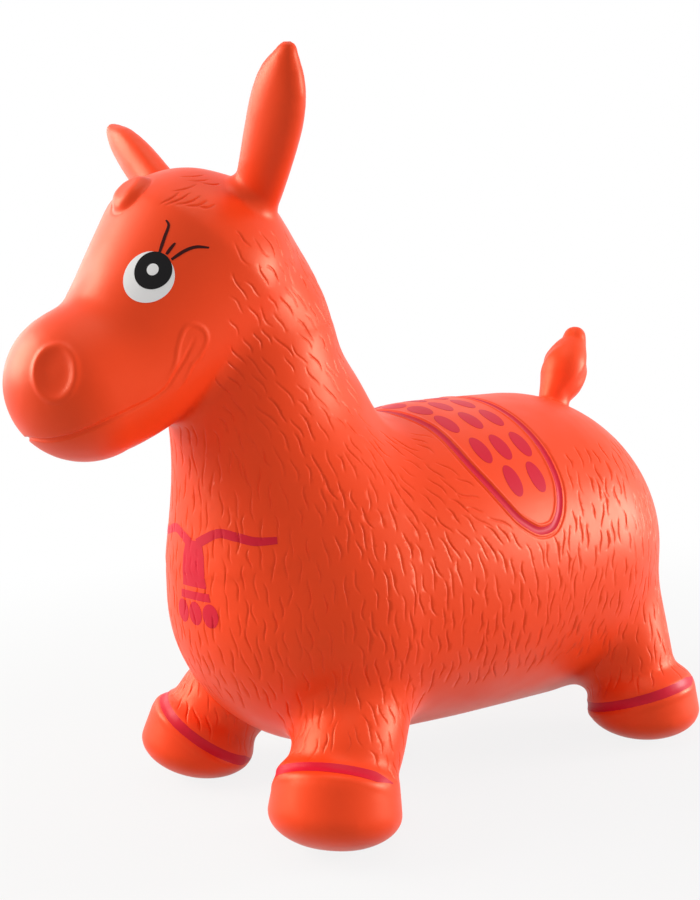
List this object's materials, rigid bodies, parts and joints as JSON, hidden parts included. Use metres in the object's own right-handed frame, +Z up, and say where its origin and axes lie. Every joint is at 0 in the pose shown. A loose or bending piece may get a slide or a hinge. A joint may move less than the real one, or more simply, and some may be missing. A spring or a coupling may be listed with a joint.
{
  "type": "inflatable hopper horse",
  "caption": "Inflatable soft-vinyl horse on stub legs that a small child sits on and bounces, with ear grips, a raised saddle outline and a plugged air valve under the belly.",
  "frame": {"origin": "on the floor, under the middle of the length and width", "axes": "+X towards the nose, +Y towards the horse's left side, +Z up"},
  "size_m": [0.525, 0.2794, 0.4863],
  "materials": {
    "orange_vinyl": "satin soft vinyl",
    "crimson_paint": "sprayed satin paint",
    "white_paint": "sprayed gloss paint",
    "black_paint": "sprayed gloss paint",
    "milky_vinyl": "translucent soft vinyl"
  },
  "bodies": {
    "bladder": {"barrel": "orange_vinyl", "neck": "orange_vinyl", "head": "orange_vinyl", "muzzle": "orange_vinyl", "ear_root_left": "orange_vinyl", "ear_root_right": "orange_vinyl", "tail_root": "orange_vinyl", "leg_front_left": "orange_vinyl", "leg_front_right": "orange_vinyl", "leg_rear_left": "orange_vinyl", "leg_rear_right": "orange_vinyl", "saddle_rim": "crimson_paint", "eye_white_left": "white_paint", "eye_white_right": "white_paint", "pupil_left": "black_paint", "pupil_right": "black_paint", "valve_collar": "milky_vinyl"},
    "ear_left": {"ear_left": "orange_vinyl"},
    "ear_right": {"ear_right": "orange_vinyl"},
    "tail": {"tail": "orange_vinyl"},
    "hoof_front_left": {"hoof_front_left": "orange_vinyl", "hoof_band_front_left": "crimson_paint"},
    "hoof_front_right": {"hoof_front_right": "orange_vinyl", "hoof_band_front_right": "crimson_paint"},
    "hoof_rear_left": {"hoof_rear_left": "orange_vinyl", "hoof_band_rear_left": "crimson_paint"},
    "hoof_rear_right": {"hoof_rear_right": "orange_vinyl", "hoof_band_rear_right": "crimson_paint"},
    "valve_plug": {"valve_plug": "milky_vinyl"}
  },
  "joints": [
    {"name": "ear_left_flex", "type": "hinge", "parent": "bladder", "child": "ear_left", "pos_m": [0.11451, 0.04298, 0.406], "axis": [-0.3861, 0.7042, -0.5958], "range_deg": [-30, 30], "stiffness_Nm_per_rad": 3.5, "deforming": ["ear_root_left"]},
    {"name": "ear_right_flex", "type": "hinge", "parent": "bladder", "child": "ear_right", "pos_m": [0.11451, -0.04302, 0.406], "axis": [0.3861, 0.7042, 0.5958], "range_deg": [-30, 30], "stiffness_Nm_per_rad": 3.5, "deforming": ["ear_root_right"]},
    {"name": "tail_flex", "type": "hinge", "parent": "bladder", "child": "tail", "pos_m": [-0.20849, -0.00002, 0.24848], "axis": [0, 1, 0], "range_deg": [-25, 25], "stiffness_Nm_per_rad": 1.5, "deforming": ["tail_root"]},
    {"name": "hoof_front_left_squash", "type": "slide", "parent": "bladder", "child": "hoof_front_left", "axis": [0, 0, 1], "range_m": [0, 0.012], "stiffness_N_per_m": 3300, "deforming": ["leg_front_left"]},
    {"name": "hoof_front_right_squash", "type": "slide", "parent": "bladder", "child": "hoof_front_right", "axis": [0, 0, 1], "range_m": [0, 0.012], "stiffness_N_per_m": 3300, "deforming": ["leg_front_right"]},
    {"name": "hoof_rear_left_squash", "type": "slide", "parent": "bladder", "child": "hoof_rear_left", "axis": [0, 0, 1], "range_m": [0, 0.012], "stiffness_N_per_m": 3300, "deforming": ["leg_rear_left"]},
    {"name": "hoof_rear_right_squash", "type": "slide", "parent": "bladder", "child": "hoof_rear_right", "axis": [0, 0, 1], "range_m": [0, 0.012], "stiffness_N_per_m": 3300, "deforming": ["leg_rear_right"]},
    {"name": "valve_plug_pull", "type": "slide", "parent": "bladder", "child": "valve_plug", "axis": [0, 0, -1], "range_m": [0, 0.018]}
  ]
}
